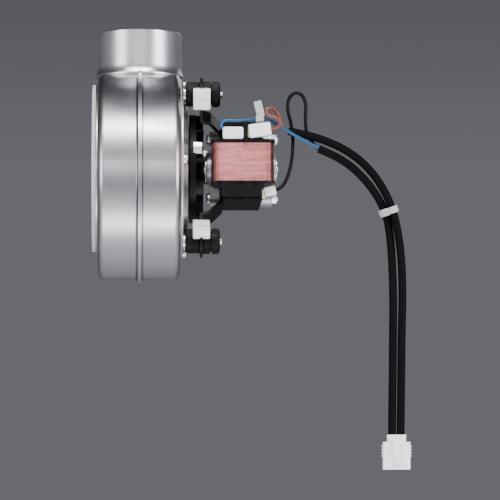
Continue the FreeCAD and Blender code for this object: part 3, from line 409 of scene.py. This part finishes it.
# slot: colour, roughness, then what differs from a smooth moulding
MOULDED = {
    "black_nylon": ((0.004, 0.004, 0.005), 0.42, {"dusty": 0.10, **BLACK}),
    "black_paint": ((0.005, 0.005, 0.006), 0.38, {"grain": 900, "relief": 0.2, "dusty": 0.10, **BLACK}),
    "felt": ((0.36, 0.33, 0.28), 0.95, {"grain": 1800, "relief": 0.8}),
    "rubber": ((0.005, 0.005, 0.005), 0.55, {"grain": 1500, "relief": 0.3, "dusty": 0.22, **BLACK}),
    "white_nylon": ((0.95, 0.95, 0.95), 0.30, {"Subsurface_Weight": 0.08, **SMOOTH}),
    # the tie's grey is painted shade: white nylon darkened for a tie that sits in shadow
    "tie_nylon": ((0.44, 0.45, 0.45), 0.32, {"Subsurface_Weight": 0.1, **SMOOTH}),
    "blue_insulation": ((0.012, 0.075, 0.19), 0.34, {}),
    "brown_insulation": ((0.19, 0.045, 0.035), 0.34, {}),
    "black_insulation": ((0.005, 0.005, 0.006), 0.34, BLACK),
    "black_sleeving": ((0.003, 0.002, 0.003), 0.55,
                       {"grain": 1300, "relief": 0.25, "Specular_IOR_Level": DEAD_BLACK}),
    "seal_carbon": ((0.03, 0.03, 0.03), 0.6, {}),
}
SHADERS = {
    "aluminised_steel": sheet_steel("aluminised_steel", (0.50, 0.49, 0.535)),
    "flue_steel": sheet_steel("flue_steel", (0.66, 0.65, 0.69), around_z=True, smoke=0.12),
    "wheel_steel": sheet_steel("wheel_steel", (0.50, 0.50, 0.51), smoke=0.5),
    "galvanised_plate": galvanised(),
    "gasket_fibre": fibre(),
    "laminations": laminated(),
    "copper_wire": copper("copper_wire", (0.56, 0.215, 0.215), Coat_Weight=0.25, Coat_Roughness=0.18),
    "copper_ring": copper("copper_ring", (0.74, 0.42, 0.30)),
    "cast_bracket": cast(),
}
for slot, look in PLATED.items():
    SHADERS[slot] = zinc(slot, *look)
for slot, (colour, rough, more) in MOULDED.items():
    SHADERS[slot] = plastic(slot, colour, rough, **more)
MATERIALS = {slot: shader.mat for slot, shader in SHADERS.items()}
SLOT_OF = {part["node"]: part["material_slot"] for part in frame["record"]["subparts"]}
for node_name, node_object in NODES.items():
    node_object.data.materials.clear()
    node_object.data.materials.append(MATERIALS[SLOT_OF[node_name]])


# ---------------------------------------------------------------- wires and sleeves
def spline_cord(name, route, diameter, slot):
    """A free cord: one smooth line through the given route, with a round section."""
    data = bpy.data.curves.new(name, "CURVE")
    data.dimensions = "3D"
    data.resolution_u = 12
    data.bevel_depth = diameter / 2
    data.bevel_resolution = 6
    data.use_fill_caps = True
    line = data.splines.new("NURBS")
    line.points.add(len(route) - 1)
    for point, place in zip(line.points, route):
        point.co = (*place, 1)
    line.order_u = 3
    line.use_endpoint_u = True
    cord = bpy.data.objects.new(name + "_run", data)
    bpy.context.scene.collection.objects.link(cord)
    data.materials.append(MATERIALS[slot])
    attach(cord, "housing")
    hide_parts(name)


BLUE_ROUTE = [(0.0928, -0.0562, 0.0198), (0.0900, -0.0562, 0.0225), (0.0900, -0.0562, 0.0255),
              (0.0922, -0.0561, 0.0276), (0.0962, -0.0559, 0.0275), (0.1010, -0.0556, 0.0274),
              (0.1060, -0.0554, 0.0277), (0.1115, -0.0551, 0.0286), (0.1170, -0.0548, 0.0288),
              (0.1236, -0.0540, 0.0276), (0.1296, -0.0529, 0.0249), (0.1352, -0.0518, 0.0214),
              (0.1410, -0.0508, 0.0180), (0.1466, -0.0496, 0.0152), (0.1522, -0.0483, 0.0122),
              (0.1580, -0.0477, 0.0096)]
BROWN_ROUTE = [(0.1243, -0.0559, 0.0214), (0.1279, -0.0565, 0.0219), (0.1312, -0.0573, 0.0242),
               (0.1306, -0.0578, 0.0280), (0.1264, -0.0576, 0.0298), (0.1216, -0.0569, 0.0310),
               (0.1206, -0.0560, 0.0354), (0.1244, -0.0550, 0.0373), (0.1286, -0.0538, 0.0340),
               (0.1312, -0.0516, 0.0288), (0.1326, -0.0494, 0.0234), (0.1370, -0.0475, 0.0213)]
EARTH_ROUTE = [(0.12795, -0.0480, -0.01995), (0.1312, -0.0480, -0.0192), (0.1354, -0.0477, -0.0138),
               (0.1384, -0.0468, -0.0044), (0.1400, -0.0450, 0.0065), (0.1403, -0.0426, 0.0175),
               (0.1390, -0.0412, 0.0280), (0.1366, -0.0410, 0.0366), (0.1368, -0.0412, 0.0444),
               (0.1416, -0.0415, 0.0498), (0.1476, -0.0415, 0.0474), (0.1496, -0.0412, 0.0400),
               (0.1490, -0.0410, 0.0310), (0.1494, -0.0410, 0.0230), (0.1514, -0.0418, 0.0160),
               (0.1580, -0.0453, 0.0094)]
SUPPLY_ROUTE = [(0.1370, -0.0474, 0.0212), (0.1500, -0.0464, 0.0188), (0.1640, -0.0452, 0.0146),
                (0.1780, -0.0441, 0.0082), (0.1905, -0.0431, -0.0012), (0.2010, -0.0420, -0.0138),
                (0.2088, -0.0410, -0.0290), (0.2135, -0.0400, -0.0462), (0.2162, -0.0393, -0.0670),
                (0.2169, -0.0390, -0.0920), (0.2161, -0.0387, -0.1190), (0.2157, -0.0389, -0.1460),
                (0.2154, -0.0386, -0.1690), (0.2150, -0.0385, -0.1900)]
EARTH_SLEEVE_ROUTE = [(0.1580, -0.0465, 0.0090), (0.1680, -0.0462, 0.0050), (0.1800, -0.0452, -0.0022),
                      (0.1904, -0.0434, -0.0118), (0.1992, -0.0402, -0.0228), (0.2058, -0.0370, -0.0354),
                      (0.2086, -0.0366, -0.0510), (0.2098, -0.0378, -0.0710), (0.2104, -0.0386, -0.0950),
                      (0.2100, -0.0388, -0.1220), (0.2097, -0.0390, -0.1490), (0.2093, -0.0387, -0.1710),
                      (0.2091, -0.0385, -0.1900)]
WIRE_D = 2.4 * MM
SLEEVE_D = 5.6 * MM
spline_cord("blue_wire", BLUE_ROUTE, WIRE_D, "blue_insulation")
spline_cord("brown_wire", BROWN_ROUTE, WIRE_D, "brown_insulation")
spline_cord("earth_wire", EARTH_ROUTE, WIRE_D, "black_insulation")
spline_cord("supply_sleeve", SUPPLY_ROUTE, SLEEVE_D, "black_sleeving")
spline_cord("earth_sleeve", EARTH_SLEEVE_ROUTE, SLEEVE_D, "black_sleeving")


# ---------------------------------------------------------------- coil
UNEVEN_MM = 0.16       # how far a turn may sink below the layer
WAVE_MM = 0.05         # how far a turn may wander up and down


def add_winding():
    """Enamelled wire wound turn on turn round the bobbin, with the outer layer's uneven lie."""
    low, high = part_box("winding")
    wire_r = 0.27 * MM
    pitch = 0.50 * MM
    corner = 6.2 * MM
    turns = int((high.z - low.z - 2 * wire_r) / pitch) + 1
    chance = random.Random(7)
    mesh = bmesh.new()
    sides, steps = 8, 7
    for turn in range(turns):
        z = low.z + wire_r + pitch * turn
        inset = wire_r + chance.uniform(0.0, UNEVEN_MM) * MM
        x0, x1 = low.x + inset, high.x - inset
        y0, y1 = low.y + inset, high.y - inset
        wave, phase = chance.uniform(0.0, WAVE_MM) * MM, chance.uniform(0, 6)
        path = []
        for cx, cy, start in ((x1 - corner, y1 - corner, 0), (x0 + corner, y1 - corner, 90),
                              (x0 + corner, y0 + corner, 180), (x1 - corner, y0 + corner, 270)):
            for step in range(steps):
                a = math.radians(start + 90 * step / (steps - 1))
                path.append((Vector((cx + corner * math.cos(a), cy + corner * math.sin(a), 0)),
                             Vector((math.cos(a), math.sin(a), 0))))
        rings = []
        for index, (place, out) in enumerate(path):
            lift = z + wave * math.sin(phase + 2 * math.pi * index / len(path))
            rings.append([mesh.verts.new(Vector((place.x, place.y, lift)) + out * (wire_r * math.cos(b))
                                         + Vector((0, 0, wire_r * math.sin(b))))
                          for b in (2 * math.pi * k / sides for k in range(sides))])
        for ring, after in zip(rings, rings[1:] + rings[:1]):
            for k in range(sides):
                beside = (k + 1) % sides
                mesh.faces.new((ring[k], after[k], after[beside], ring[beside])).smooth = True
    data = bpy.data.meshes.new("winding_turns")
    mesh.to_mesh(data)
    mesh.free()
    coil = bpy.data.objects.new("winding_turns", data)
    bpy.context.scene.collection.objects.link(coil)
    data.materials.append(MATERIALS["copper_wire"])
    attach(coil, "housing")
    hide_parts("winding")


add_winding()
